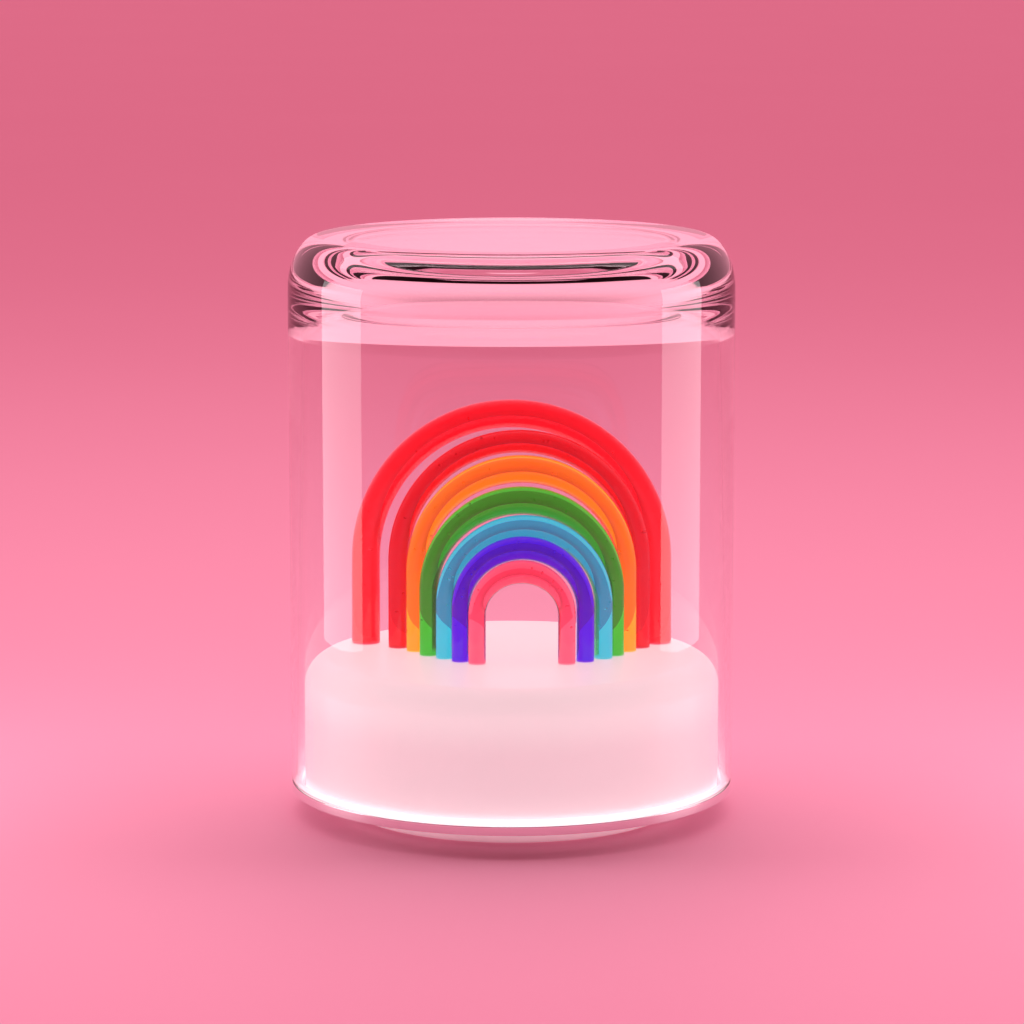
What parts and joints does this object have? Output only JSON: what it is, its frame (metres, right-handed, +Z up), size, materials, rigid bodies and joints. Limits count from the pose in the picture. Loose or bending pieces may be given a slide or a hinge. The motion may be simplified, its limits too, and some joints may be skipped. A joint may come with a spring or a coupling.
{
  "type": "rainbow lamp",
  "caption": "Table lamp: nested coloured glass rod arches on a round glowing opal base, under a clear glass dome on a metal ring.",
  "frame": {"origin": "centre of the soft foot ring, on the table", "axes": "+Z up along the dome's axis, -Y towards the front, from where the rainbow is seen, +X to its right"},
  "size_m": [0.13, 0.13, 0.1697],
  "materials": {
    "clear_glass": "clear, fire-polished",
    "clear_silicone": "clear, satin",
    "polished_metal": "mirror polished",
    "opal_plastic": "opal, fine satin",
    "white_plastic": "moulded, matte",
    "strip_film": "thin film",
    "lamp_package": "clear resin over phosphor",
    "board_laminate": "white solder mask",
    "screw_steel": "zinc plated",
    "cell_sleeve": "shrink sleeve",
    "contact_plate": "nickel plated",
    "chip_plastic": "moulded epoxy",
    "inlet_steel": "nickel plated",
    "light_pipe": "clear moulded",
    "foot_plastic": "moulded, fine satin",
    "foot_rubber": "soft matte",
    "button_plastic": "moulded, satin",
    "glass_red": "fire-polished",
    "glass_ruby": "fire-polished",
    "glass_amber": "fire-polished",
    "glass_green": "fire-polished",
    "glass_sky": "fire-polished",
    "glass_violet": "fire-polished",
    "glass_pink": "fire-polished"
  },
  "bodies": {
    "base": {"arch_red": "glass_red", "arch_ruby": "glass_ruby", "arch_amber": "glass_amber", "arch_green": "glass_green", "arch_sky": "glass_sky", "arch_violet": "glass_violet", "arch_pink": "glass_pink", "dome_gasket": "clear_silicone", "seat_ring": "polished_metal", "diffuser": "opal_plastic", "chassis": "white_plastic", "light_drum": "white_plastic", "drum_led_strip": "strip_film", "drum_leds": "lamp_package", "crown_board": "board_laminate", "crown_leds": "lamp_package", "crown_screws": "screw_steel", "battery_cell": "cell_sleeve", "battery_cradle": "white_plastic", "battery_contacts": "contact_plate", "control_board": "board_laminate", "board_components": "chip_plastic", "button_switch": "chip_plastic", "board_screws": "screw_steel", "charge_inlet": "inlet_steel", "charge_light_pipe": "light_pipe", "led_lead": "strip_film", "foot_cup": "foot_plastic", "foot_pad": "foot_rubber", "foot_screws": "screw_steel", "ring_screws": "screw_steel"},
    "dome": {"glass_dome": "clear_glass"},
    "button": {"power_button": "button_plastic"}
  },
  "joints": [
    {"name": "dome_lift", "type": "slide", "parent": "base", "child": "dome", "axis": [0, 0, 1], "range_m": [0, 0.14]},
    {"name": "power_press", "type": "slide", "parent": "base", "child": "button", "axis": [0, 0, 1], "range_m": [0, 0.0005], "stiffness_N_per_m": 1500}
  ]
}
